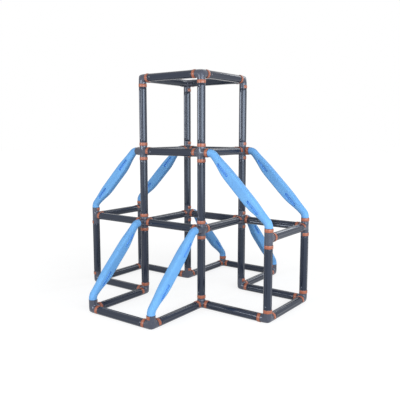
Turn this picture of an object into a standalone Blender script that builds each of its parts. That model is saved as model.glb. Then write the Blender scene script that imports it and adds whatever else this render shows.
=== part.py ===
"""Modular climbing tower: straight tubes and bent rails plugged into hub connectors, locked by C clips.

A square tower of three storeys stands in the middle. One-storey bays stand on its -X and +X sides, each
with two bent rails sloping down to it from the second level and one side left open at the top as a doorway.
Two bent rails slope down to the ground on its -Y and +Y sides. Front is -Y, right is +X. The origin is on
the ground, at the middle of the plan.
Each upright is one solid with the hub that it carries. All bars and rails plug into the hubs' sockets.
All lengths are in metres.
"""

import math

import bmesh
import bpy
from mathutils import Matrix, Vector

# Driving sizes of the frame
MODULE = 0.572            # from one hub centre to the next, along X, Y and Z alike
LEVELS = 3                # storeys of the tower
TUBE_RADIUS = 0.0305      # to the flats of the outer skin, of tubes and hub stubs alike
TUBE_SIDES = 12
ROUND_SIDES = 8           # sides of stubs, sockets, necks and clips

# Joint between a hub stub and the neck of a tube or rail
STUB_WALL = 0.0035        # plastic around a socket
NECK_CLEARANCE = 0.0004   # all round a neck in its socket
END_CLEARANCE = 0.0004    # between a stub's mouth and the shoulder behind a neck
HUB_WEB = 0.005           # from a socket's floor to the next socket's side
HUB_SHOULDER = 0.0075     # bare hub between the clips of two neighbouring stubs

# C clip around a stub
CLIP_WIDTH = 0.027
CLIP_PROUD = 0.003        # how far a clip stands out of its stub
CLIP_SEAT = 0.0015        # how deep it sits in the stub's skin
CLIP_EDGE = 0.001         # from the clip to the stub's mouth
CLIP_ARC = math.radians(160)

# Bent rail
RAIL_LEAD = 0.002         # straight run between a stub and the bend
RAIL_BEND_RADIUS = 0.060  # of the rail's middle line
RAIL_BEND_STEPS = 3
RAIL_BELLY = 0.020        # how far the underside bulges at the middle
RAIL_CROWN = 0.005        # how far the upper side rises at the middle
RAIL_SWELL = 0.145        # length over which the round end turns into the deep middle
RAIL_CORNER_RADIUS = 0.020
SLOT_LENGTH = 0.125
SLOT_WIDTH = 0.024
SLOT_DEPTH = 0.018
SLOT_INSET = 0.133        # from the end of the bend to the middle of the slot
SLOT_END_SIDES = 3        # flats on each round end of a slot

# Sizes that follow
SLOPE = math.radians(45)
SOCKET_RADIUS = TUBE_RADIUS - STUB_WALL
NECK_RADIUS = SOCKET_RADIUS - NECK_CLEARANCE
SOCKET_FLOOR = SOCKET_RADIUS + HUB_WEB
CORNER = 1.0 / math.cos(math.pi / ROUND_SIDES)
CLIP_START = (TUBE_RADIUS + CLIP_PROUD) * CORNER + HUB_SHOULDER
CLIP_CENTRE = CLIP_START + CLIP_WIDTH / 2
STUB_REACH = CLIP_START + CLIP_WIDTH + CLIP_EDGE
BODY_START = STUB_REACH + END_CLEARANCE
NECK_START = SOCKET_FLOOR + END_CLEARANCE
PRECISION = 6             # decimals of a metre, so that mirrored faces meet exactly
SHARP_ANGLE = math.radians(50)

# Colours as (red, green, blue), roughness
FRAME_FINISH = ((0.070, 0.080, 0.105), 0.35)
HUB_FINISH = ((0.060, 0.068, 0.090), 0.45)
RAIL_FINISH = ((0.150, 0.420, 0.860), 0.38)

UP = (0, 0, 1)
DOWN = (0, 0, -1)
LEFT = (-1, 0, 0)
RIGHT = (1, 0, 0)
FRONT = (0, -1, 0)
BACK = (0, 1, 0)

# Plan positions, in modules from the tower's front left corner
TOWER = {"front_left": (0, 0), "front_right": (1, 0), "back_right": (1, 1), "back_left": (0, 1)}
LEFT_BAY = {"front": (-1, 0), "back": (-1, 1)}
RIGHT_BAY = {"front": (2, 0), "back": (2, 1)}
FRONT_RAMP = {"left": (0, -1), "right": (1, -1)}
BACK_RAMP = {"left": (0, 2), "right": (1, 2)}

# The side of each bay that has no top bar and so serves as its doorway
DOORWAYS = {"left_bay": "back", "right_bay": "front"}

# Where the middle of a clip's arc points, for the hubs and stubs where it isn't the usual way
CLIP_TURNS = {
    ((0, 0, 2), LEFT): BACK,
    ((0, 0, 1), FRONT): LEFT,
    ((1, 0, 1), FRONT): LEFT,
    ((0, 1, 3), FRONT): LEFT,
    ((0, 1, 3), RIGHT): BACK,
    ((1, 1, 3), LEFT): BACK,
    ((0, -1, 0), UP): (-1, 1, 0),
    ((1, -1, 0), UP): (-1, -1, 0),
    ((1, 2, 0), UP): (-1, -1, 0),
    ((-1, 0, 1), UP): (1, 1, 0),
    ((-1, 0, 1), DOWN): LEFT,
    ((-1, 0, 0), UP): (-1, -1, 0),
    ((-1, 1, 1), UP): (1, -1, 0),
    ((2, 1, 1), DOWN): RIGHT,
    ((2, 0, 0), LEFT): FRONT,
    ((2, 1, 0), LEFT): FRONT,
}


def at(i, j, level):
    """The centre of the hub at this place of the grid."""
    return Vector(((i - 0.5) * MODULE, (j - 0.5) * MODULE, level * MODULE + TUBE_RADIUS))


def turn_to(direction):
    """Rotation that takes +Z to the direction."""
    return Vector(direction).to_track_quat("Z", "Y").to_matrix().to_4x4()


def new_material(name, finish):
    colour, roughness = finish
    material = bpy.data.materials.new(name)
    material.use_nodes = True
    shader = material.node_tree.nodes["Principled BSDF"]
    shader.inputs["Base Color"].default_value = (*colour, 1.0)
    shader.inputs["Roughness"].default_value = roughness
    shader.inputs["Metallic"].default_value = 0.0
    return material


def new_helper(name, mesh):
    """A hidden object that a part is cut from or joined with."""
    obj = bpy.data.objects.new(name, mesh)
    obj.hide_render = True
    obj.display_type = "WIRE"
    helpers.objects.link(obj)
    return obj


def helper_from(name, build_shape):
    """A helper whose bmesh is filled in by build_shape(bm)."""
    bm = bmesh.new()
    build_shape(bm)
    for vertex in bm.verts:
        vertex.co = [round(value, PRECISION) for value in vertex.co]
    bmesh.ops.recalc_face_normals(bm, faces=bm.faces)
    mesh = bpy.data.meshes.new(name)
    bm.to_mesh(mesh)
    bm.free()
    return new_helper(name, mesh)


def prism(name, radius, start, end, direction=UP, sides=ROUND_SIDES, base=(0, 0, 0)):
    """A prism between two distances from its base. The radius is to its flats, which face the axes."""
    place = Matrix.Translation(base) @ turn_to(direction) @ Matrix.Translation((0, 0, (start + end) / 2))
    to_flats = Matrix.Rotation(math.pi / sides, 4, "Z")
    corner = radius / math.cos(math.pi / sides)

    def build_shape(bm):
        bmesh.ops.create_cone(
            bm, cap_ends=True, segments=sides, radius1=corner, radius2=corner,
            depth=end - start, matrix=place @ to_flats,
        )

    return helper_from(name, build_shape)


def change(obj, operation, others):
    """Adds one Boolean modifier for each of the other objects."""
    for other in others:
        modifier = obj.modifiers.new(other.name, "BOOLEAN")
        modifier.operation = operation
        modifier.solver = "EXACT"
        modifier.object = other


def evaluated_mesh(obj, name):
    """A mesh of the object as its modifiers leave it, with flat neighbours merged."""
    graph = bpy.context.evaluated_depsgraph_get()
    mesh = bpy.data.meshes.new_from_object(obj.evaluated_get(graph))
    mesh.name = name
    bm = bmesh.new()
    bm.from_mesh(mesh)
    bmesh.ops.remove_doubles(bm, verts=bm.verts, dist=1e-6)
    bmesh.ops.dissolve_limit(bm, angle_limit=math.radians(0.1), verts=bm.verts, edges=bm.edges)
    bmesh.ops.recalc_face_normals(bm, faces=bm.faces)
    bm.to_mesh(mesh)
    bm.free()
    return mesh


def add_part(name, mesh, place, material):
    mesh.materials.clear()
    mesh.materials.append(material)
    mesh.shade_smooth()
    mesh.set_sharp_from_angle(angle=SHARP_ANGLE)
    obj = bpy.data.objects.new(name, mesh)
    obj.parent = root
    obj.matrix_basis = place
    parts.objects.link(obj)
    return obj


def tube_mesh():
    """A straight tube along Z from hub centre to hub centre, with a neck at each end."""
    body = prism("tube_body", TUBE_RADIUS, BODY_START, MODULE - BODY_START, sides=TUBE_SIDES)
    change(body, "UNION", [prism("tube_neck", NECK_RADIUS, NECK_START, MODULE - NECK_START)])
    return evaluated_mesh(body, "tube")


def clip_direction(hub, stub):
    """Where the middle of a clip's arc points: mostly to the front and right, and low down upwards too."""
    i, j, level = hub
    if (hub, stub) in CLIP_TURNS:
        return CLIP_TURNS[hub, stub]
    if stub in (UP, DOWN):
        return (1, 1, 0) if j == 1 and i != 2 else (1, -1, 0)
    if stub in (LEFT, RIGHT):
        straight = level == LEVELS or (i, level, stub) == (1, 2, RIGHT)
        return FRONT if straight else (0, -1, 1)
    if level == 0:
        return (1, 0, 1)
    if stub == FRONT and j == 1 and level < LEVELS:
        return UP if level == 1 else (1, 0, 1)
    return RIGHT


def clip_outline():
    """The clip's outline as (radius, angle): out along the stub's flats and back along their inside."""
    flat = 2 * math.pi / ROUND_SIDES
    reach = CLIP_ARC / 2
    corners = [(number + 0.5) * flat for number in range(-ROUND_SIDES // 2, ROUND_SIDES // 2)]
    angles = [-reach, *[corner for corner in corners if abs(corner) < reach], reach]

    def skin(radius):
        return [(radius / math.cos(angle - round(angle / flat) * flat), angle) for angle in angles]

    return skin(TUBE_RADIUS + CLIP_PROUD) + skin(TUBE_RADIUS - CLIP_SEAT)[::-1]


def clip_ring(name, hub, stub):
    """The C clip of one stub, on a hub around the origin."""
    outline = clip_outline()
    data = bpy.data.curves.new("clip_outline", "CURVE")
    data.dimensions = "2D"
    data.fill_mode = "BOTH"
    data.extrude = CLIP_WIDTH / 2
    spline = data.splines.new("POLY")
    spline.points.add(len(outline) - 1)
    for point, (radius, angle) in zip(spline.points, outline):
        point.co = (radius * math.cos(angle), radius * math.sin(angle), 0.0, 1.0)
    spline.use_cyclic_u = True
    curve = new_helper("clip_outline", data)
    mesh = evaluated_mesh(curve, name)
    bpy.data.objects.remove(curve)
    along = Vector(stub)
    towards = Vector(clip_direction(hub, stub)).normalized()
    turn = Matrix((towards, along.cross(towards), along)).transposed().to_4x4()
    mesh.transform(Matrix.Translation(along * CLIP_CENTRE) @ turn)
    return new_helper(name, mesh)


def hub_mesh(name, hub, stubs, closed_stubs=()):
    """A hub around the origin with its stubs and clips. A closed stub has no socket, as its tube is joined."""
    core = prism(name + "_core", TUBE_RADIUS, -TUBE_RADIUS, TUBE_RADIUS)
    across = [
        prism(name + "_across", TUBE_RADIUS, -TUBE_RADIUS, TUBE_RADIUS, direction)
        for direction in (RIGHT, BACK)
    ]
    change(core, "INTERSECT", across)
    stubs = sorted(stubs)
    change(core, "UNION", [prism(name + "_stub", TUBE_RADIUS, 0.0, STUB_REACH, stub) for stub in stubs])
    change(core, "UNION", [clip_ring(name + "_clip", hub, stub) for stub in stubs])
    sockets = [
        prism(name + "_socket", SOCKET_RADIUS, SOCKET_FLOOR, STUB_REACH + HUB_WEB, stub)
        for stub in stubs
        if stub not in closed_stubs
    ]
    change(core, "DIFFERENCE", sockets)
    return evaluated_mesh(core, name)


def upright_mesh(name, foot, hubs):
    """An upright tube above the hub at its foot, joined to the hub at its head and, on the ground, to both."""
    head = (foot[0], foot[1], foot[2] + 1)
    upright = new_helper(name + "_tube", tube_mesh())
    carried = [(head, DOWN, MODULE)]
    if foot[2] == 0:
        carried.append((foot, UP, 0.0))
    for hub, closed_stub, height in carried:
        mesh = hub_mesh(name + "_hub", hub, hubs[hub], (closed_stub,))
        mesh.transform(Matrix.Translation((0, 0, height)))
        change(upright, "UNION", [new_helper(name + "_hub", mesh)])
    return evaluated_mesh(upright, name)


def rounded_section(half_width, rise, drop, corner_radius):
    """Twelve points of a rounded rectangle, as (sideways, upwards) from the rail's middle line."""
    points = []
    for quarter in range(4):
        for third in (15, 45, 75):
            angle = math.radians(90 * quarter + third)
            reach_up = rise if math.sin(angle) > 0 else drop
            radius = corner_radius / math.cos(math.radians(15))
            side = math.copysign(half_width - corner_radius, math.cos(angle)) + radius * math.cos(angle)
            height = math.copysign(reach_up - corner_radius, math.sin(angle)) + radius * math.sin(angle)
            points.append((side, height))
    return points


def rail_stations():
    """Points of the rail's middle line as (run, height, slope, swell from 0 to 1), from the top down."""
    bend_start = BODY_START + RAIL_LEAD
    stations = [(BODY_START, MODULE, 0.0, 0.0)]
    for step in range(RAIL_BEND_STEPS + 1):
        slope = SLOPE * step / RAIL_BEND_STEPS
        run = bend_start + RAIL_BEND_RADIUS * math.sin(slope)
        stations.append((run, MODULE - RAIL_BEND_RADIUS * (1 - math.cos(slope)), slope, 0.0))
    run, height = stations[-1][:2]
    for swell in (0.5, 1.0):
        drop = RAIL_SWELL * swell * math.sin(SLOPE)
        stations.append((run + drop, height - drop, SLOPE, swell))
    # The lower half mirrors the upper one across the line from low inside to high outside
    lower = [(height, run, math.pi / 2 - slope, swell) for run, height, slope, swell in stations]
    return stations + lower[::-1]


def rail_body(bm):
    """The skin of the rail, lofted through its sections."""
    rings = []
    for run, height, slope, swell in rail_stations():
        section = rounded_section(
            TUBE_RADIUS,
            TUBE_RADIUS + RAIL_CROWN * swell,
            TUBE_RADIUS + RAIL_BELLY * swell,
            TUBE_RADIUS + (RAIL_CORNER_RADIUS - TUBE_RADIUS) * swell,
        )
        middle = Vector((run, 0.0, height))
        upwards = Vector((math.sin(slope), 0.0, math.cos(slope)))
        rings.append([bm.verts.new(middle + Vector((0, side, 0)) + upwards * up) for side, up in section])
    for ring, following in zip(rings, rings[1:]):
        for number in range(len(ring)):
            after = (number + 1) % len(ring)
            bm.faces.new((ring[number], ring[after], following[after], following[number]))
    bm.faces.new(rings[0])
    bm.faces.new(rings[-1])


def slot_cutter(middle, side):
    """A stadium-shaped cutter that sinks a slot into one flat side of the rail, along its slope."""
    half_straight = (SLOT_LENGTH - SLOT_WIDTH) / 2
    down = Vector((math.cos(SLOPE), 0, -math.sin(SLOPE)))
    outwards = Vector((math.sin(SLOPE), 0, math.cos(SLOPE)))
    # The rail's middle line lies above the middle of its swollen section
    centre = middle - outwards * (RAIL_BELLY - RAIL_CROWN) / 2

    def build_shape(bm):
        outline = []
        for end in (1, -1):
            for step in range(SLOT_END_SIDES + 1):
                angle = math.pi * step / SLOT_END_SIDES - math.pi / 2
                length = end * (half_straight + math.cos(angle) * SLOT_WIDTH / 2)
                outline.append(centre + down * length + outwards * end * math.sin(angle) * SLOT_WIDTH / 2)
        floor = Vector((0, side * (TUBE_RADIUS - SLOT_DEPTH), 0))
        face = bm.faces.new([bm.verts.new(point + floor) for point in outline])
        pulled = bmesh.ops.extrude_face_region(bm, geom=[face])
        verts = [item for item in pulled["geom"] if isinstance(item, bmesh.types.BMVert)]
        bmesh.ops.translate(bm, verts=verts, vec=(0, side * 2 * SLOT_DEPTH, 0))

    return helper_from("rail_slot", build_shape)


def rail_mesh():
    """A bent rail in the XZ plane, from the hub at (0, MODULE) down to the hub at (MODULE, 0)."""
    body = helper_from("rail_body", rail_body)
    top_neck = prism("rail_neck", NECK_RADIUS, NECK_START, BODY_START + RAIL_LEAD, RIGHT, base=(0, 0, MODULE))
    low_neck = prism("rail_neck", NECK_RADIUS, NECK_START, BODY_START + RAIL_LEAD, UP, base=(MODULE, 0, 0))
    change(body, "UNION", [top_neck, low_neck])
    stations = rail_stations()
    bends = (stations[RAIL_BEND_STEPS + 1], stations[-RAIL_BEND_STEPS - 2])
    for (run, height, _, _), way in zip(bends, (1, -1)):
        drop = way * SLOT_INSET * math.sin(SLOPE)
        middle = Vector((run + drop, 0.0, height - drop))
        change(body, "DIFFERENCE", [slot_cutter(middle, side) for side in (-1, 1)])
    return evaluated_mesh(body, "rail")


def uprights():
    """Every upright as (name, hub at its foot)."""
    found = []
    for corner, (i, j) in TOWER.items():
        for level in range(LEVELS):
            found.append(("upright_" + corner + "_" + str(level + 1), (i, j, level)))
    for bay, posts in (("left_bay", LEFT_BAY), ("right_bay", RIGHT_BAY)):
        for side, (i, j) in posts.items():
            found.append((bay + "_upright_" + side, (i, j, 0)))
    return found


def bars():
    """Every level bar as (name, hub at its start, direction)."""
    found = []
    for level in range(1, LEVELS + 1):
        label = "_level_" + str(level)
        found.append(("bar_front" + label, (0, 0, level), RIGHT))
        found.append(("bar_back" + label, (0, 1, level), RIGHT))
        found.append(("bar_left" + label, (0, 0, level), BACK))
        found.append(("bar_right" + label, (1, 0, level), BACK))
    for bay, posts, inner in (("left_bay", LEFT_BAY, -1), ("right_bay", RIGHT_BAY, 1)):
        for level, height in ((0, "_ground_bar_"), (1, "_top_bar_")):
            for side, (_, j) in posts.items():
                if level == 0 or side != DOORWAYS[bay]:
                    found.append((bay + height + side, (inner, j, level), RIGHT))
            found.append((bay + height + "end", (*posts["front"], level), BACK))
    for ramp, feet, inner in (("front_ramp", FRONT_RAMP, -1), ("back_ramp", BACK_RAMP, 1)):
        for side, (i, _) in feet.items():
            found.append((ramp + "_ground_bar_" + side, (i, inner, 0), BACK))
        found.append((ramp + "_ground_bar_end", (*feet["left"], 0), RIGHT))
    return found


def rails():
    """Every bent rail as (name, hub at its top, outward direction)."""
    found = []
    for side, j in (("front", 0), ("back", 1)):
        found.append(("left_bay_rail_" + side, (0, j, 2), LEFT))
        found.append(("right_bay_rail_" + side, (1, j, 2), RIGHT))
    for side, i in (("left", 0), ("right", 1)):
        found.append(("front_ramp_rail_" + side, (i, 0, 1), FRONT))
        found.append(("back_ramp_rail_" + side, (i, 1, 1), BACK))
    return found


def hubs_with_stubs():
    """Each hub's place in the grid, with the directions of its stubs."""
    hubs = {}
    runs = [(foot, UP) for _, foot in uprights()] + [run[1:] for run in bars()]
    for start, direction in runs:
        end = tuple(a + b for a, b in zip(start, direction))
        hubs.setdefault(start, set()).add(direction)
        hubs.setdefault(end, set()).add(tuple(-value for value in direction))
    for _, (i, j, level), outward in rails():
        hubs[i, j, level].add(outward)
        hubs[i + outward[0], j + outward[1], level - 1].add(UP)
    return hubs


def build():
    frame_plastic = new_material("frame_plastic", FRAME_FINISH)
    hub_plastic = new_material("hub_plastic", HUB_FINISH)
    rail_plastic = new_material("rail_plastic", RAIL_FINISH)
    hubs = hubs_with_stubs()

    for name, foot in uprights():
        add_part(name, upright_mesh(name, foot, hubs), Matrix.Translation(at(*foot)), frame_plastic)

    for ramp, feet in (("front_ramp", FRONT_RAMP), ("back_ramp", BACK_RAMP)):
        for side, (i, j) in feet.items():
            hub = (i, j, 0)
            name = ramp + "_hub_" + side
            add_part(name, hub_mesh(name, hub, hubs[hub]), Matrix.Translation(at(*hub)), hub_plastic)

    bar = tube_mesh()
    for name, start, direction in bars():
        add_part(name, bar, Matrix.Translation(at(*start)) @ turn_to(direction), frame_plastic)

    rail = rail_mesh()
    for name, (i, j, level), outward in rails():
        heading = Matrix.Rotation(math.atan2(outward[1], outward[0]), 4, "Z")
        add_part(name, rail, Matrix.Translation(at(i, j, level - 1)) @ heading, rail_plastic)


for leftover in list(bpy.data.objects):
    bpy.data.objects.remove(leftover)
parts = bpy.data.collections.new("climbing_tower")
helpers = bpy.data.collections.new("cutters")
bpy.context.scene.collection.children.link(parts)
bpy.context.scene.collection.children.link(helpers)
root = bpy.data.objects.new("climbing_tower_root", None)
parts.objects.link(root)
build()
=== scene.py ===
"""Looks of the climbing tower: fluted tubes, moulded hubs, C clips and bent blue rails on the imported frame.

Every shape is modelled once, by hand-like operators, and copied to each place of the cubic grid.
All lengths are in metres, in the frame of the solids: front is -Y, right is +X, and the floor is Z = 0.
"""

import math

import bmesh
import bpy
from mathutils import Matrix, Vector


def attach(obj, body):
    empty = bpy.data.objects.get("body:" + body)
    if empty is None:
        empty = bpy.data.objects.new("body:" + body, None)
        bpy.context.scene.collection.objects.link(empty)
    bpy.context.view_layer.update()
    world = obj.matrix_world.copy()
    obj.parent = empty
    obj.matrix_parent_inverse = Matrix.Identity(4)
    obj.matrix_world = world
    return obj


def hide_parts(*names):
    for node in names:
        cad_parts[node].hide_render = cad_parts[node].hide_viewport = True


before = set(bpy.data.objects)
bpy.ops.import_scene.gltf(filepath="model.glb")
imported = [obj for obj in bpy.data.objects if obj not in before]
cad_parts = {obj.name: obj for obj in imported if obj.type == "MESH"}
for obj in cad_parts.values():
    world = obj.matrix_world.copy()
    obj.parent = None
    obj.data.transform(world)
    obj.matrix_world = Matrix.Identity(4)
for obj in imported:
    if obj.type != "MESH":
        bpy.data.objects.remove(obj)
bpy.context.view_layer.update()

# Sizes shared with the solids
MODULE = 0.572              # from one hub centre to the next, along X, Y and Z alike
LEVELS = 3                  # storeys of the tower
TUBE_RADIUS = 0.0305
SOCKET_RADIUS = 0.0270
NECK_RADIUS = 0.0266
SOCKET_FLOOR = 0.0320       # this and the next four are distances from the hub's centre
NECK_START = 0.0324
STUB_REACH = 0.07176
BODY_START = 0.07216
CLIP_CENTRE = 0.05726
CLIP_PROUD = 0.0030
RAIL_LEAD = 0.002           # straight run between a stub and the bend
RAIL_BEND_RADIUS = 0.060    # of the rail's middle line
RAIL_BELLY = 0.020          # how far the underside bulges at the middle
RAIL_CROWN = 0.005          # how far the upper side rises at the middle
SLOT_LENGTH = 0.125
SLOT_WIDTH = 0.024
SLOT_DEPTH = 0.018
SLOT_INSET = 0.133          # from the end of the bend to the middle of the slot
SLOPE = math.radians(45)

# Sizes that are closer to the photo than the solids' own, which are 0.027 and 0.145
CLIP_WIDTH = 0.0235
RAIL_SWELL = 0.185          # length over which the round end turns into the deep middle

# Tube: four shallow flutes with spoon-shaped ends
TUBE_SIDES = 72
SHOULDER_ROUND = 0.0013
FLUTE_TIP = 0.0895          # from the hub's centre to the tip of a flute
FLUTE_RADIUS = 0.020        # of the round tool that would cut the flute
FLUTE_OFFSET = 0.0471       # from the tube's axis to the tool's axis
FLUTE_REACH = math.sqrt(FLUTE_RADIUS ** 2 - (FLUTE_OFFSET - TUBE_RADIUS) ** 2)
FLUTE_STEPS = (0.0, 0.35, 0.62, 0.82, 0.95, 1.0)
FLUTE_COLUMNS = 4           # columns of points from the middle of a flute to its edge
BARELY_CUT = 0.9995         # cuts that would leave more than this share of the radius aren't made
NECK_LEAD = 0.0015          # tapered tip of the neck
NECK_TAPER = 0.95

# Hub: rings of eight points under two levels of subdivision, which draw them in to this share
RING_SHRINK = 0.9024
CLOSED_SWELL = 1.306        # push of a closed side's middle, that lands it on the tube's radius
CLOSED_CORNER = 0.92        # pull on a corner between three closed sides
STUB_START = 0.0425         # where a stub leaves the rounded core
LIP = 0.0012                # rounding of a stub's mouth, and of a rail's shoulder

# Clip
CLIP_SIDES = 32
CLIP_GAP_SIDES = 18         # of those, the ones that its opening takes
CLIP_FIT = 0.00015          # air between the clip and its stub
CLIP_ROUND = 0.0009

# Rail: rings of sixteen points under two levels of subdivision, which draw them in to this share
RAIL_SIDES = 16
RAIL_SHRINK = 0.97463
RAIL_BEND_STEPS = 12
RAIL_BEND_RINGS = (0.28, 0.52, 0.76)    # shares of the stretch from the rail's end to the bend's
RAIL_END_RING = 0.004       # from the rail's end, to hold the round of its shoulder
RAIL_SWELL_STEPS = 4
RAIL_MIDDLE_RING = 0.38     # share of the length at which one more ring has the full swell
RAIL_NECK_HOLD = 0.0006     # a close ring that keeps the neck's root crisp
RAIL_NECK_LEAD = 0.0018
RAIL_NECK_SHORT = 0.0006    # how far the neck ends before the solid's
RAIL_NECK_SHANK = BODY_START - NECK_START - RAIL_NECK_SHORT - RAIL_NECK_HOLD - RAIL_NECK_LEAD
RAIL_NECK_TAPER = 0.93
RAIL_NECK_INSET = 0.004
CORNER_SWELL = 0.28         # gains of the corners, the sides, and the top and underside at the middle
SIDE_SWELL = 0.080
TOP_SWELL = 0.070

# Slot cutter, whose rim flares as it passes the tube's radius
SLOT_SIDES = 24
SLOT_FLOOR_ROUND = 0.002
SLOT_FLARE = 0.0012
SLOT_FLARE_SCALE = (1.03, 1, 1.15)

UP = (0, 0, 1)
DOWN = (0, 0, -1)
LEFT = (-1, 0, 0)
RIGHT = (1, 0, 0)
FRONT = (0, -1, 0)
BACK = (0, 1, 0)
WAY_NAMES = {UP: "up", DOWN: "down", LEFT: "left", RIGHT: "right", FRONT: "front", BACK: "back"}

# Plan positions, in modules from the tower's front left corner
TOWER = {"front_left": (0, 0), "front_right": (1, 0), "back_right": (1, 1), "back_left": (0, 1)}
BAYS = {
    "left_bay": {"front": (-1, 0), "back": (-1, 1)},
    "right_bay": {"front": (2, 0), "back": (2, 1)},
}
RAMPS = {
    "front_ramp": {"left": (0, -1), "right": (1, -1)},
    "back_ramp": {"left": (0, 2), "right": (1, 2)},
}

# Where the bars that join a bay or ramp to the tower start, along X for a bay and along Y for a ramp
JOINING_START = {"left_bay": -1, "right_bay": 1, "front_ramp": -1, "back_ramp": 1}

# The side of each bay that has no top bar and so serves as its doorway
DOORWAYS = {"left_bay": "back", "right_bay": "front"}

# Where the middle of a clip's arc points, for the hubs and stubs where it isn't the usual way
CLIP_TURNS = {
    ((0, 0, 2), LEFT): BACK,
    ((0, 0, 1), FRONT): LEFT,
    ((1, 0, 1), FRONT): LEFT,
    ((0, 1, 3), FRONT): LEFT,
    ((0, 1, 3), RIGHT): BACK,
    ((1, 1, 3), LEFT): BACK,
    ((0, -1, 0), UP): (-3, 4, 0),
    ((1, -1, 0), UP): (-3, -2, 0),
    ((1, 2, 0), UP): (-3, -2, 0),
    ((-1, 0, 1), UP): (2, 3, 0),
    ((-1, 0, 1), DOWN): (-4, -1, 0),
    ((-1, 0, 0), UP): (-3, -2, 0),
    ((-1, 1, 1), UP): (1, -1, 0),
    ((2, 1, 1), DOWN): (4, -1, 0),
    ((2, 0, 0), LEFT): FRONT,
    ((2, 1, 0), LEFT): FRONT,
}

# Colours of the plastics, as a ground and the paler mottle on it
SLATE = (0.017, 0.023, 0.041)
SLATE_PALE = (0.025, 0.032, 0.055)
GREY = (0.058, 0.062, 0.088)
GREY_PALE = (0.078, 0.083, 0.114)
ORANGE = (0.41, 0.115, 0.058)
ORANGE_PALE = (0.47, 0.160, 0.090)
BLUE = (0.192, 0.464, 0.890)
BLUE_PALE = (0.228, 0.526, 0.930)
BLUISH = (0.78, 0.86, 1.0)
WHITE = (1, 1, 1)
COOL_WHITE = (0.90, 0.96, 1.0)

# Softboxes as name, place, target, width, height, power and colour
SOFTBOXES = (
    ("front_softbox", (-1.1, -4.5, 1.7), (0, 0, 1.7), 2.3, 1.2, 85, WHITE),
    ("front_low_softbox", (-1.1, -4.5, 0.7), (0, 0, 0.7), 2.3, 0.7, 12, WHITE),
    ("right_softbox", (4.35, -1.5, 1.7), (0, 0, 1.7), 5.8, 1.2, 158, COOL_WHITE),
    ("right_low_softbox", (4.35, -1.5, 0.7), (0, 0, 0.7), 5.8, 0.7, 46, COOL_WHITE),
    ("back_softbox", (0.75, 4.0, 3.1), (0, 0, 0.9), 0.9, 2.2, 26, WHITE),
)
WORLD_FILL = 0.25
WORLD_SEEN = 1.0
FLOOR_SIZE = 60
FLOOR_GREY = 0.35
FLOOR_SHADE_REACH = (1.2, 4.0)     # from the middle of the floor, where its glow starts and ends its rise
FLOOR_GLOW = (0.80, 0.96)

TOUCH = 1e-5                # points closer to a plane than this lie on it
SAME_ANGLE = 0.01           # columns of points closer than this are the same one
FACING = 0.9                # a face looks along a direction from this share of its normal on


# Where everything goes

def at(i, j, level):
    """The centre of the hub at this place of the grid."""
    return Vector(((i - 0.5) * MODULE, (j - 0.5) * MODULE, level * MODULE + TUBE_RADIUS))


def turn_to(direction):
    """Rotation that takes +Z to the direction."""
    return Vector(direction).to_track_quat("Z", "Y").to_matrix().to_4x4()


def uprights():
    """Every upright as (node, hub at its foot, direction)."""
    found = []
    for corner, (i, j) in TOWER.items():
        for level in range(LEVELS):
            found.append(("upright_" + corner + "_" + str(level + 1), (i, j, level), UP))
    for bay, posts in BAYS.items():
        for side, (i, j) in posts.items():
            found.append((bay + "_upright_" + side, (i, j, 0), UP))
    return found


def bars():
    """Every level bar as (node, hub at its start, direction)."""
    found = []
    for level in range(1, LEVELS + 1):
        label = "_level_" + str(level)
        found.append(("bar_front" + label, (0, 0, level), RIGHT))
        found.append(("bar_back" + label, (0, 1, level), RIGHT))
        found.append(("bar_left" + label, (0, 0, level), BACK))
        found.append(("bar_right" + label, (1, 0, level), BACK))
    for bay, posts in BAYS.items():
        for level, height in ((0, "_ground_bar_"), (1, "_top_bar_")):
            for side, (_, j) in posts.items():
                if level == 0 or side != DOORWAYS[bay]:
                    found.append((bay + height + side, (JOINING_START[bay], j, level), RIGHT))
            found.append((bay + height + "end", (*posts["front"], level), BACK))
    for ramp, feet in RAMPS.items():
        for side, (i, _) in feet.items():
            found.append((ramp + "_ground_bar_" + side, (i, JOINING_START[ramp], 0), BACK))
        found.append((ramp + "_ground_bar_end", (*feet["left"], 0), RIGHT))
    return found


def rails():
    """Every bent rail as (node, hub at its top, outward direction)."""
    found = []
    for side, j in (("front", 0), ("back", 1)):
        found.append(("left_bay_rail_" + side, (0, j, 2), LEFT))
        found.append(("right_bay_rail_" + side, (1, j, 2), RIGHT))
    for side, i in (("left", 0), ("right", 1)):
        found.append(("front_ramp_rail_" + side, (i, 0, 1), FRONT))
        found.append(("back_ramp_rail_" + side, (i, 1, 1), BACK))
    return found


def hubs():
    """Every hub as (name, node that holds its solid, place in the grid, directions of its stubs)."""
    stubs = {}
    for _, start, direction in uprights() + bars():
        end = tuple(a + b for a, b in zip(start, direction))
        stubs.setdefault(start, set()).add(direction)
        stubs.setdefault(end, set()).add(tuple(-value for value in direction))
    for _, (i, j, level), outward in rails():
        stubs[i, j, level].add(outward)
        stubs[i + outward[0], j + outward[1], level - 1].add(UP)
    found = []
    for corner, (i, j) in TOWER.items():
        for level in range(LEVELS + 1):
            node = "upright_" + corner + "_" + str(max(level, 1))
            found.append(("hub_" + corner + "_" + str(level), node, (i, j, level)))
    for bay, posts in BAYS.items():
        for side, (i, j) in posts.items():
            for level in (0, 1):
                name = "hub_" + bay + "_" + side + "_" + str(level)
                found.append((name, bay + "_upright_" + side, (i, j, level)))
    for ramp, feet in RAMPS.items():
        for side, (i, j) in feet.items():
            found.append(("hub_" + ramp + "_" + side, ramp + "_hub_" + side, (i, j, 0)))
    return [(name, node, place, sorted(stubs[place])) for name, node, place in found]


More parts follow.
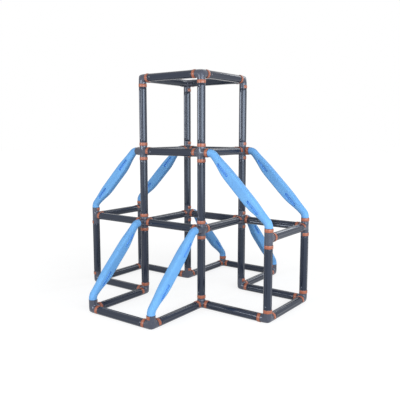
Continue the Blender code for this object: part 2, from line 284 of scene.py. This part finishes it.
def clip_direction(hub, stub):
    """Where the middle of a clip's arc points: mostly to the front and right, and low down upwards too."""
    i, j, level = hub
    if (hub, stub) in CLIP_TURNS:
        return CLIP_TURNS[hub, stub]
    if stub in (UP, DOWN):
        return (4, 3, 0) if j == 1 and i != 2 else (1, -1, 0)
    if stub in (LEFT, RIGHT):
        straight = level == LEVELS or (i, level, stub) == (1, 2, RIGHT)
        return FRONT if straight else (0, -1, 1)
    if level == 0:
        return (1, 0, 2)
    if stub == FRONT and j == 1 and level < LEVELS:
        return UP if level == 1 else (1, 0, 2)
    return RIGHT


# Hand-like modelling steps

def deselect_all():
    if bpy.context.mode != "OBJECT":
        bpy.ops.object.mode_set(mode="OBJECT")
    bpy.ops.object.select_all(action="DESELECT")


def begin_shaping(name):
    """Opens the newest primitive in edit mode, with nothing in it selected."""
    piece = bpy.context.object
    piece.name = name
    bpy.ops.object.transform_apply(location=True, rotation=True, scale=True)
    bpy.ops.object.mode_set(mode="EDIT")
    bpy.ops.mesh.select_all(action="DESELECT")
    return piece


def end_shaping():
    """Leaves edit mode with clean outward faces."""
    bpy.ops.mesh.select_all(action="SELECT")
    bpy.ops.mesh.remove_doubles(threshold=1e-6)
    bpy.ops.mesh.normals_make_consistent(inside=False)
    bpy.ops.object.mode_set(mode="OBJECT")


def pick_points(piece, chosen):
    """Selects the points whose place satisfies chosen(place)."""
    bpy.ops.mesh.select_mode(type="VERT")
    bpy.ops.mesh.select_all(action="DESELECT")
    mesh = bmesh.from_edit_mesh(piece.data)
    for point in mesh.verts:
        if chosen(point.co):
            point.select_set(True)
    mesh.select_flush_mode()
    bmesh.update_edit_mesh(piece.data)


def pick_faces(piece, chosen):
    """Selects the faces that satisfy chosen(centre, normal)."""
    bpy.ops.mesh.select_mode(type="FACE")
    bpy.ops.mesh.select_all(action="DESELECT")
    mesh = bmesh.from_edit_mesh(piece.data)
    mesh.normal_update()
    for face in mesh.faces:
        if chosen(face.calc_center_median(), face.normal):
            face.select_set(True)
    bmesh.update_edit_mesh(piece.data)


def near_either_end(value, distance, length):
    """Whether a value is at a distance from the start or from the end of a length."""
    return min(abs(value - distance), abs(length - value - distance)) < TOUCH


def move(offset):
    bpy.ops.transform.translate(value=offset)


def scale(factors, centre=(0, 0, 0)):
    bpy.ops.transform.resize(value=factors, center_override=centre)


def pull_out(offset=(0, 0, 0)):
    """Extrudes the selected faces and moves the new ones."""
    bpy.ops.mesh.extrude_region_move(TRANSFORM_OT_translate={"value": offset})


def cut_across(plane_point, plane_normal):
    """Cuts an edge ring through the whole mesh, without removing anything."""
    bpy.ops.mesh.select_all(action="SELECT")
    bpy.ops.mesh.bisect(plane_co=plane_point, plane_no=plane_normal)


def make_active(piece):
    deselect_all()
    bpy.context.view_layer.objects.active = piece
    piece.select_set(True)


def apply_modifier(piece, kind, **settings):
    make_active(piece)
    modifier = piece.modifiers.new(kind.lower(), kind)
    for setting, value in settings.items():
        setattr(modifier, setting, value)
    bpy.ops.object.modifier_apply(modifier=modifier.name)


def smooth(piece, degrees):
    make_active(piece)
    bpy.ops.object.shade_smooth_by_angle(angle=math.radians(degrees))


def axis_scale(direction, along, across):
    """Scale factors along a grid direction and across it."""
    return tuple(along if value else across for value in direction)


# The tube

def flute_depth(turned, step):
    """The tube's radius at an angle from a flute's middle, as a share of the plain radius."""
    tool = math.sqrt(FLUTE_RADIUS ** 2 - (FLUTE_REACH * step) ** 2)
    inside = tool ** 2 - (FLUTE_OFFSET * math.sin(turned)) ** 2
    if inside <= 0:
        return 1.0
    return min(1.0, (FLUTE_OFFSET * math.cos(turned) - math.sqrt(inside)) / TUBE_RADIUS)


def in_flute_columns(place, height, turned):
    """Whether a point is on the cuts at a height, and turned by an angle from the middle of a flute."""
    angle = math.atan2(place.y, place.x) % (math.pi / 2)
    apart = min(abs(angle - turned), abs(math.pi / 2 - angle - turned))
    return near_either_end(place.z, height, MODULE) and apart < SAME_ANGLE


def model_tube():
    """A fluted tube along +Z between two hub centres, with a rounded shoulder and a neck at each end."""
    deselect_all()
    bpy.ops.mesh.primitive_cylinder_add(
        vertices=TUBE_SIDES, radius=TUBE_RADIUS, depth=MODULE - 2 * BODY_START,
        end_fill_type="NGON", location=(0, 0, MODULE / 2),
    )
    tube = begin_shaping("tube_pattern")
    pick_faces(tube, lambda centre, normal: abs(normal.z) > FACING)
    bpy.ops.mesh.bevel(offset=SHOULDER_ROUND, offset_type="OFFSET", segments=3, affect="EDGES")
    share = NECK_RADIUS / (TUBE_RADIUS - SHOULDER_ROUND)
    for end, way in ((BODY_START, -1), (MODULE - BODY_START, 1)):
        pick_faces(tube, lambda centre, normal: normal.z * way > FACING and abs(centre.z - end) < TOUCH)
        pull_out()
        scale((share, share, 1), (0, 0, end))
        pull_out((0, 0, way * (BODY_START - NECK_START - NECK_LEAD)))
        pull_out((0, 0, way * NECK_LEAD))
        scale((NECK_TAPER, NECK_TAPER, 1), (0, 0, end))
    heights = [FLUTE_TIP + FLUTE_REACH * (1 - step) for step in FLUTE_STEPS]
    for height in heights:
        cut_across((0, 0, height), UP)
        cut_across((0, 0, MODULE - height), UP)
    for step, height in zip(FLUTE_STEPS[:-1], heights):
        for column in range(FLUTE_COLUMNS):
            turned = column * 2 * math.pi / TUBE_SIDES
            share = flute_depth(turned, step)
            if share < BARELY_CUT:
                pick_points(tube, lambda place: in_flute_columns(place, height, turned))
                scale((share, share, 1))
    end_shaping()
    smooth(tube, degrees=32)
    return tube


# The hub

def model_hub(stubs):
    """A hub around the origin: a rounded core with a socketed stub on each of the given sides."""
    half = TUBE_RADIUS / RING_SHRINK * math.sqrt(0.5)
    deselect_all()
    bpy.ops.mesh.primitive_cube_add(size=2 * half)
    hub = begin_shaping("hub_pattern")
    bpy.ops.mesh.select_all(action="SELECT")
    bpy.ops.mesh.subdivide(number_cuts=1)
    closed = [way for way in WAY_NAMES if way not in stubs]

    def sides_met(place):
        return [way for way in WAY_NAMES if place.dot(Vector(way)) > 0.5 * half]

    for way in closed:
        pick_points(hub, lambda place: sides_met(place) == [way])
        scale((CLOSED_SWELL,) * 3)
    for way in stubs:
        pick_points(hub, lambda place: way in sides_met(place) and len(sides_met(place)) == 2)
        scale(axis_scale(way, 1, math.sqrt(2)))
    pick_points(hub, lambda place: len(sides_met(place)) == 3
                and all(way in closed for way in sides_met(place)))
    scale((CLOSED_CORNER,) * 3)

    # Each ring is a distance from the centre and a radius
    rings = (
        (STUB_START, TUBE_RADIUS),
        (STUB_REACH - LIP, TUBE_RADIUS),
        (STUB_REACH, TUBE_RADIUS - 0.3 * LIP),
        (STUB_REACH, SOCKET_RADIUS + 0.5 * LIP),
        (STUB_REACH - LIP, SOCKET_RADIUS),
        (SOCKET_FLOOR + LIP, SOCKET_RADIUS),
        (SOCKET_FLOOR, SOCKET_RADIUS - LIP),
    )
    for way in stubs:
        pick_faces(hub, lambda centre, normal: centre.dot(Vector(way)) > 0.9 * half
                   and (centre - Vector(way) * centre.dot(Vector(way))).length < 1.2 * half)
        radius = TUBE_RADIUS
        for distance, next_radius in rings:
            pull_out()
            scale(axis_scale(way, 0, next_radius / radius), Vector(way) * distance)
            radius = next_radius
    end_shaping()
    apply_modifier(hub, "SUBSURF", levels=2, render_levels=2)
    smooth(hub, degrees=50)
    return hub


# The clip

def model_clip():
    """A C clip around +Z, open on the -X side, with rounded edges."""
    deselect_all()
    bpy.ops.mesh.primitive_cylinder_add(
        vertices=CLIP_SIDES, radius=TUBE_RADIUS + CLIP_PROUD, depth=CLIP_WIDTH, end_fill_type="NOTHING",
    )
    clip = begin_shaping("clip_pattern")
    half_gap = math.pi * CLIP_GAP_SIDES / CLIP_SIDES
    pick_faces(clip, lambda centre, normal: abs(math.atan2(centre.y, -centre.x)) < half_gap)
    bpy.ops.mesh.delete(type="FACE")
    end_shaping()
    apply_modifier(clip, "SOLIDIFY", thickness=CLIP_PROUD - CLIP_FIT, offset=-1.0, use_even_offset=True)
    apply_modifier(clip, "BEVEL", width=CLIP_ROUND, segments=2, limit_method="ANGLE",
                   angle_limit=math.radians(50))
    smooth(clip, degrees=35)
    return clip


# The rail

def rail_path():
    """Points of the rail's middle line in the XZ plane, from the top stub's mouth to the lower one's."""
    bend_start = BODY_START + RAIL_LEAD
    points = [(BODY_START, MODULE), (bend_start, MODULE)]
    for step in range(1, RAIL_BEND_STEPS + 1):
        slope = SLOPE * step / RAIL_BEND_STEPS
        points.append((
            bend_start + RAIL_BEND_RADIUS * math.sin(slope),
            MODULE - RAIL_BEND_RADIUS * (1 - math.cos(slope)),
        ))
    lower = [(height, run) for run, height in points]
    return points + lower[::-1]


def shape_rail_end(rail, ring, end, way):
    """Rounds the shoulder at an end of the straight blank and draws the neck out of it."""
    pick_faces(rail, lambda centre, normal: normal.x * way > FACING and abs(centre.x - end) < TOUCH)
    share = (ring - LIP) / ring
    scale((1, share, share), (end, 0, 0))
    pull_out()
    share = NECK_RADIUS / RAIL_SHRINK / (ring - LIP)
    scale((1, share, share), (end, 0, 0))
    for length in (RAIL_NECK_HOLD, RAIL_NECK_SHANK, RAIL_NECK_LEAD):
        pull_out((way * length, 0, 0))
    scale((1, RAIL_NECK_TAPER, RAIL_NECK_TAPER), (end, 0, 0))
    bpy.ops.mesh.inset(thickness=RAIL_NECK_INSET)


def swell_ring(rail, ring, on_ring, swell):
    """Makes a ring of the blank squarer at the corners, deep underneath and a little crowned on top.

    The ring's sixteen points are 0, 0.38, 0.71, 0.92 or 1 of its radius across and up.
    """
    def pick(zone):
        pick_points(rail, lambda place: on_ring(place) and zone(place.y / ring, place.z / ring))

    pick(lambda across, up: abs(abs(across) - abs(up)) < 0.3)
    scale((1, 1 + CORNER_SWELL * swell, 1 + CORNER_SWELL * swell))
    pick(lambda across, up: 0.2 < abs(up) < 0.5)
    scale((1, 1 + SIDE_SWELL * swell, 1))
    pick(lambda across, up: 0.2 < abs(across) < 0.5)
    scale((1, 1, 1 + TOP_SWELL * swell))
    pick(lambda across, up: up < -0.1)
    move((0, 0, -RAIL_BELLY * swell))
    pick(lambda across, up: up > 0.1)
    move((0, 0, RAIL_CROWN * swell))
    pick(lambda across, up: abs(up) < 0.05)
    move((0, 0, (RAIL_CROWN - RAIL_BELLY) / 2 * swell))


def model_slot_tool(middle, side):
    """A stadium-shaped cutter with a flared rim, that sinks a slot into a side of the straight blank."""
    centre_height = -(RAIL_BELLY - RAIL_CROWN) / 2
    deselect_all()
    bpy.ops.mesh.primitive_cylinder_add(
        vertices=SLOT_SIDES, radius=SLOT_WIDTH / 2, depth=2 * SLOT_DEPTH, end_fill_type="NGON",
        location=(0, side * TUBE_RADIUS, centre_height), rotation=(math.pi / 2, 0, 0),
    )
    tool = begin_shaping("slot_tool")
    for way in (-1, 1):
        pick_points(tool, lambda place: place.x * way > TOUCH)
        move((way * (SLOT_LENGTH - SLOT_WIDTH) / 2, 0, 0))
    pick_faces(tool, lambda centre, normal: normal.y * side < -FACING)
    bpy.ops.mesh.bevel(offset=SLOT_FLOOR_ROUND, segments=2, affect="EDGES")
    pick_faces(tool, lambda centre, normal: normal.y * side > FACING)
    move((0, -side * (SLOT_DEPTH + SLOT_FLARE), 0))
    pull_out((0, side * 2 * SLOT_FLARE, 0))
    scale(SLOT_FLARE_SCALE, (0, side * TUBE_RADIUS, centre_height))
    bpy.ops.mesh.select_all(action="SELECT")
    move((middle, 0, 0))
    end_shaping()
    return tool


def bend_along(piece, path):
    """Bends a straight blank along +X onto a path in the XZ plane."""
    curve = bpy.data.curves.new("rail_path", "CURVE")
    curve.dimensions = "3D"
    line = curve.splines.new("POLY")
    line.points.add(len(path) - 1)
    for point, (run, height) in zip(line.points, path):
        point.co = (run, 0, height, 1)
    guide = bpy.data.objects.new("rail_path", curve)
    bpy.context.scene.collection.objects.link(guide)
    apply_modifier(piece, "CURVE", object=guide, deform_axis="POS_X")
    bpy.data.objects.remove(guide)


def model_rail():
    """A bent rail in the XZ plane from the hub at (0, MODULE) down to the hub at (MODULE, 0).

    It is shaped as a straight blank along +X, slotted, and then bent along its path.
    """
    path = rail_path()
    length = sum(math.dist(a, b) for a, b in zip(path, path[1:]))
    bend_end = RAIL_LEAD + RAIL_BEND_RADIUS * SLOPE
    ring = TUBE_RADIUS / RAIL_SHRINK
    deselect_all()
    bpy.ops.mesh.primitive_cylinder_add(
        vertices=RAIL_SIDES, radius=ring, depth=length, end_fill_type="NGON",
        location=(length / 2, 0, 0), rotation=(0, math.pi / 2, 0),
    )
    rail = begin_shaping("rail_pattern")
    for end, way in ((0.0, -1), (length, 1)):
        shape_rail_end(rail, ring, end, way)
    swells = {}
    for step in range(RAIL_SWELL_STEPS + 1):
        share = step / RAIL_SWELL_STEPS
        swells[bend_end + RAIL_SWELL * share] = 0.5 - 0.5 * math.cos(math.pi * share)
    swells[length * RAIL_MIDDLE_RING] = 1.0
    plain = [LIP, RAIL_END_RING] + [bend_end * share for share in RAIL_BEND_RINGS]
    for start in plain + list(swells):
        cut_across((start, 0, 0), RIGHT)
        cut_across((length - start, 0, 0), RIGHT)
    for start, swell in swells.items():
        if swell:
            swell_ring(rail, ring, lambda place: near_either_end(place.x, start, length), swell)
    end_shaping()
    apply_modifier(rail, "SUBSURF", levels=2, render_levels=2)
    tools = []
    for middle in (bend_end + SLOT_INSET, length - bend_end - SLOT_INSET):
        for side in (-1, 1):
            tool = model_slot_tool(middle, side)
            apply_modifier(rail, "BOOLEAN", object=tool, operation="DIFFERENCE", solver="EXACT")
            tools.append(tool)
    for tool in tools:
        bpy.data.objects.remove(tool)
    bend_along(rail, path)
    smooth(rail, degrees=40)
    return rail


# The finishes

def new_group(name, inputs, outputs):
    group = bpy.data.node_groups.new(name, "ShaderNodeTree")
    for label, kind, value in inputs:
        socket = group.interface.new_socket(label, in_out="INPUT", socket_type=kind)
        socket.default_value = value
    for label, kind in outputs:
        group.interface.new_socket(label, in_out="OUTPUT", socket_type=kind)
    return group, group.nodes.new("NodeGroupInput"), group.nodes.new("NodeGroupOutput")


def noise(nodes, links, place, size, detail, roughness=0.5):
    node = nodes.new("ShaderNodeTexNoise")
    node.inputs["Scale"].default_value = size
    node.inputs["Detail"].default_value = detail
    node.inputs["Roughness"].default_value = roughness
    links.new(place, node.inputs["Vector"])
    return node.outputs["Fac"]


def spread(nodes, links, value, given, wanted):
    """Maps a given range of values to the wanted one, held at its ends."""
    node = nodes.new("ShaderNodeMapRange")
    for label, number in zip(("From Min", "From Max", "To Min", "To Max"), (*given, *wanted)):
        node.inputs[label].default_value = number
    links.new(value, node.inputs["Value"])
    return node.outputs["Result"]


def combine(nodes, links, operation, first, second):
    node = nodes.new("ShaderNodeMath")
    node.operation = operation
    for socket, value in zip(node.inputs, (first, second)):
        if isinstance(value, (int, float)):
            socket.default_value = value
        else:
            links.new(value, socket)
    return node.outputs["Value"]


def moulded_skin_group():
    """Mottled colour, uneven gloss, fine grain and soft waves of a moulded plastic skin."""
    group, given, out = new_group(
        "moulded_skin",
        [
            ("Place", "NodeSocketVector", (0, 0, 0)),
            ("Colour", "NodeSocketColor", (0.5, 0.5, 0.5, 1)),
            ("Pale Colour", "NodeSocketColor", (0.6, 0.6, 0.6, 1)),
            ("Mottle", "NodeSocketFloat", 0.3),
            ("Gloss", "NodeSocketFloat", 0.35),
            ("Grain", "NodeSocketFloat", 0.2),
        ],
        [("Colour", "NodeSocketColor"), ("Roughness", "NodeSocketFloat"), ("Height", "NodeSocketFloat")],
    )
    nodes, links = group.nodes, group.links
    place = given.outputs["Place"]
    clouds = noise(nodes, links, place, size=9.0, detail=4.0, roughness=0.6)
    clouds = spread(nodes, links, clouds, (0.35, 0.68), (0.0, 1.0))
    amount = combine(nodes, links, "MULTIPLY", clouds, given.outputs["Mottle"])
    mix = nodes.new("ShaderNodeMix")
    mix.data_type = "RGBA"
    links.new(amount, mix.inputs["Factor"])
    links.new(given.outputs["Colour"], mix.inputs["A"])
    links.new(given.outputs["Pale Colour"], mix.inputs["B"])
    links.new(mix.outputs["Result"], out.inputs["Colour"])
    smears = noise(nodes, links, place, size=16.0, detail=5.0, roughness=0.65)
    smears = spread(nodes, links, smears, (0.3, 0.7), (-0.05, 0.07))
    links.new(combine(nodes, links, "ADD", given.outputs["Gloss"], smears), out.inputs["Roughness"])
    waves = noise(nodes, links, place, size=22.0, detail=2.0)
    grain = noise(nodes, links, place, size=700.0, detail=1.0)
    fine = combine(nodes, links, "MULTIPLY", grain, given.outputs["Grain"])
    links.new(combine(nodes, links, "ADD", waves, fine), out.inputs["Height"])
    return group


def scuff_group():
    """Thin pale scratches, stretched one way and broken up into patches."""
    group, given, out = new_group(
        "scuffs",
        [("Place", "NodeSocketVector", (0, 0, 0)), ("Amount", "NodeSocketFloat", 0.5)],
        [("Mask", "NodeSocketFloat")],
    )
    nodes, links = group.nodes, group.links
    place = given.outputs["Place"]
    lines = noise(nodes, links, place, size=140.0, detail=2.0)
    lines = combine(nodes, links, "ABSOLUTE", combine(nodes, links, "SUBTRACT", lines, 0.5), 0)
    lines = spread(nodes, links, lines, (0.0, 0.012), (1.0, 0.0))
    patches = noise(nodes, links, place, size=7.0, detail=3.0)
    patches = spread(nodes, links, patches, (0.55, 0.7), (0.0, 1.0))
    mask = combine(nodes, links, "MULTIPLY", lines, patches)
    links.new(combine(nodes, links, "MULTIPLY", mask, given.outputs["Amount"]), out.inputs["Mask"])
    return group


SKIN = moulded_skin_group()
SCUFFS = scuff_group()


def worn(colour):
    """What a scratch leaves of a colour: paler and a little greyer."""
    return tuple(min(1, value * 1.6 + 0.04) for value in colour)


def moulded_plastic(name, colour, pale, mottle, gloss, shine, grain, scuffed, bump, stretch=(1, 1, 1),
                    sheen=WHITE):
    """A moulded plastic whose skin is mottled, grained and lightly scuffed, stretched along one axis."""
    material = bpy.data.materials.new(name)
    material.use_nodes = True
    nodes, links = material.node_tree.nodes, material.node_tree.links
    shader = nodes["Principled BSDF"]
    shader.inputs["Specular IOR Level"].default_value = shine
    shader.inputs["Specular Tint"].default_value = (*sheen, 1)
    place = nodes.new("ShaderNodeTexCoord").outputs["Object"]
    mapping = nodes.new("ShaderNodeMapping")
    mapping.inputs["Scale"].default_value = stretch
    links.new(place, mapping.inputs["Vector"])
    skin = nodes.new("ShaderNodeGroup")
    skin.node_tree = SKIN
    links.new(mapping.outputs["Vector"], skin.inputs["Place"])
    skin.inputs["Colour"].default_value = (*colour, 1)
    skin.inputs["Pale Colour"].default_value = (*pale, 1)
    skin.inputs["Mottle"].default_value = mottle
    skin.inputs["Gloss"].default_value = gloss
    skin.inputs["Grain"].default_value = grain
    scuffs = nodes.new("ShaderNodeGroup")
    scuffs.node_tree = SCUFFS
    links.new(mapping.outputs["Vector"], scuffs.inputs["Place"])
    scuffs.inputs["Amount"].default_value = scuffed
    mix = nodes.new("ShaderNodeMix")
    mix.data_type = "RGBA"
    links.new(scuffs.outputs["Mask"], mix.inputs["Factor"])
    links.new(skin.outputs["Colour"], mix.inputs["A"])
    mix.inputs["B"].default_value = (*worn(pale), 1)
    links.new(mix.outputs["Result"], shader.inputs["Base Color"])
    rough = combine(nodes, links, "MULTIPLY", scuffs.outputs["Mask"], 0.25)
    links.new(combine(nodes, links, "ADD", skin.outputs["Roughness"], rough), shader.inputs["Roughness"])
    relief = nodes.new("ShaderNodeBump")
    relief.inputs["Strength"].default_value = bump
    relief.inputs["Distance"].default_value = 0.002
    links.new(skin.outputs["Height"], relief.inputs["Height"])
    links.new(relief.outputs["Normal"], shader.inputs["Normal"])
    return material


TUBE_FINISH = {
    axis: moulded_plastic("slate_tube_" + "xyz"[axis], SLATE, SLATE_PALE, mottle=0.6, gloss=0.12,
                          shine=0.50, grain=0.001, scuffed=0.15, bump=0.02,
                          stretch=tuple(0.12 if k == axis else 1.0 for k in range(3)), sheen=BLUISH)
    for axis in range(3)
}
HUB_FINISH = moulded_plastic("grey_hub", GREY, GREY_PALE, mottle=0.5, gloss=0.24, shine=0.70,
                             grain=0.002, scuffed=0.15, bump=0.04, sheen=BLUISH)
CLIP_FINISH = moulded_plastic("orange_clip", ORANGE, ORANGE_PALE, mottle=0.5, gloss=0.34, shine=0.6,
                              grain=0.002, scuffed=0.15, bump=0.04)
RAIL_FINISH = moulded_plastic("blue_rail", BLUE, BLUE_PALE, mottle=0.7, gloss=0.42, shine=0.05,
                              grain=0.001, scuffed=0.10, bump=0.04)


# Placing the pieces

def place_copy(pattern, name, matrix, finish, node):
    """A copy of a pattern with its own mesh, standing for a node and taking its finish from a slot."""
    piece = pattern.copy()
    piece.data = pattern.data.copy()
    piece.name = name
    piece.data.name = name
    piece.data.transform(matrix)
    piece.data.materials.clear()
    piece.data.materials.append(finish)
    bpy.context.scene.collection.objects.link(piece)
    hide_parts(node)
    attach(piece, "root")


def axis_of(direction):
    return [abs(value) for value in direction].index(1)


def place_tubes():
    tube = model_tube()
    for node, start, direction in uprights() + bars():
        matrix = Matrix.Translation(at(*start)) @ turn_to(direction)
        place_copy(tube, node + "_tube", matrix, TUBE_FINISH[axis_of(direction)], node)
    bpy.data.objects.remove(tube)


def clip_seat(centre, stub, towards):
    """Puts the clip pattern around a stub, with the middle of its arc pointing a given way."""
    along = Vector(stub)
    facing = Vector(towards).normalized()
    turn = Matrix((facing, along.cross(facing), along)).transposed().to_4x4()
    return centre @ Matrix.Translation(along * CLIP_CENTRE) @ turn


def place_hubs():
    clip = model_clip()
    patterns = {}
    for name, node, place, stubs in hubs():
        key = tuple(stubs)
        if key not in patterns:
            patterns[key] = model_hub(stubs)
        centre = Matrix.Translation(at(*place))
        place_copy(patterns[key], name, centre, HUB_FINISH, node)
        for stub in stubs:
            seat = clip_seat(centre, stub, clip_direction(place, stub))
            place_copy(clip, name + "_clip_" + WAY_NAMES[stub], seat, CLIP_FINISH, node)
    for pattern in (clip, *patterns.values()):
        bpy.data.objects.remove(pattern)


def place_rails():
    rail = model_rail()
    for node, (i, j, level), outward in rails():
        heading = Matrix.Rotation(math.atan2(outward[1], outward[0]), 4, "Z")
        matrix = Matrix.Translation(at(i, j, level - 1)) @ heading
        place_copy(rail, node + "_moulding", matrix, RAIL_FINISH, node)
    bpy.data.objects.remove(rail)


# The studio

def seen_or_mirrored(nodes, links):
    """1 for rays from the camera, a reflection or clear glass, and 0 for all others."""
    path = nodes.new("ShaderNodeLightPath")
    both = combine(nodes, links, "MAXIMUM", path.outputs["Is Camera Ray"], path.outputs["Is Glossy Ray"])
    return combine(nodes, links, "MAXIMUM", both, path.outputs["Is Transmission Ray"])


def build_world():
    """A world that is white where it is seen or mirrored, and a weak fill of light elsewhere."""
    world = bpy.data.worlds.new("studio")
    world.use_nodes = True
    nodes, links = world.node_tree.nodes, world.node_tree.links
    backdrop = nodes["Background"]
    backdrop.inputs["Color"].default_value = (*WHITE, 1)
    share = spread(nodes, links, seen_or_mirrored(nodes, links), (0.0, 1.0), (WORLD_FILL, WORLD_SEEN))
    links.new(share, backdrop.inputs["Strength"])
    bpy.context.scene.world = world


def white_paper():
    """The floor's paper, which takes shadows and glows towards white away from the tower."""
    paper = bpy.data.materials.new("white_paper")
    paper.use_nodes = True
    nodes, links = paper.node_tree.nodes, paper.node_tree.links
    shader = nodes["Principled BSDF"]
    shader.inputs["Base Color"].default_value = (FLOOR_GREY, FLOOR_GREY, FLOOR_GREY, 1)
    shader.inputs["Roughness"].default_value = 0.9
    shader.inputs["Specular IOR Level"].default_value = 0.0
    shader.inputs["Emission Color"].default_value = (*WHITE, 1)
    away = nodes.new("ShaderNodeVectorMath")
    away.operation = "LENGTH"
    links.new(nodes.new("ShaderNodeTexCoord").outputs["Object"], away.inputs[0])
    glow = spread(nodes, links, away.outputs["Value"], FLOOR_SHADE_REACH, FLOOR_GLOW)
    links.new(combine(nodes, links, "MULTIPLY", seen_or_mirrored(nodes, links), glow),
              shader.inputs["Emission Strength"])
    paper.cycles.emission_sampling = "NONE"
    return paper


def build_floor():
    deselect_all()
    bpy.ops.mesh.primitive_plane_add(size=FLOOR_SIZE)
    floor = bpy.context.object
    floor.name = "floor"
    floor.data.materials.append(white_paper())


def add_softbox(name, place, target, width, height, power, colour):
    data = bpy.data.lights.new(name, "AREA")
    data.shape = "RECTANGLE"
    data.size = width
    data.size_y = height
    data.energy = power
    data.color = colour
    lamp = bpy.data.objects.new(name, data)
    lamp.location = place
    lamp.rotation_euler = (Vector(target) - Vector(place)).to_track_quat("-Z", "Y").to_euler()
    bpy.context.scene.collection.objects.link(lamp)


def add_camera():
    """The photo's view: from the front right, a little above the middle of the tower."""
    camera = bpy.data.objects.new("camera", bpy.data.cameras.new("camera"))
    camera.location = (2.56407, -3.39705, 1.32461)
    camera.rotation_euler = (math.radians(82.620), 0, math.radians(36.353))
    camera.data.lens = 47.046
    camera.data.sensor_width = 36
    camera.data.clip_end = 100
    bpy.context.scene.collection.objects.link(camera)
    bpy.context.scene.camera = camera
    bpy.context.scene.view_settings.view_transform = "Standard"


build_world()
build_floor()
for softbox in SOFTBOXES:
    add_softbox(*softbox)
add_camera()
place_tubes()
place_hubs()
place_rails()
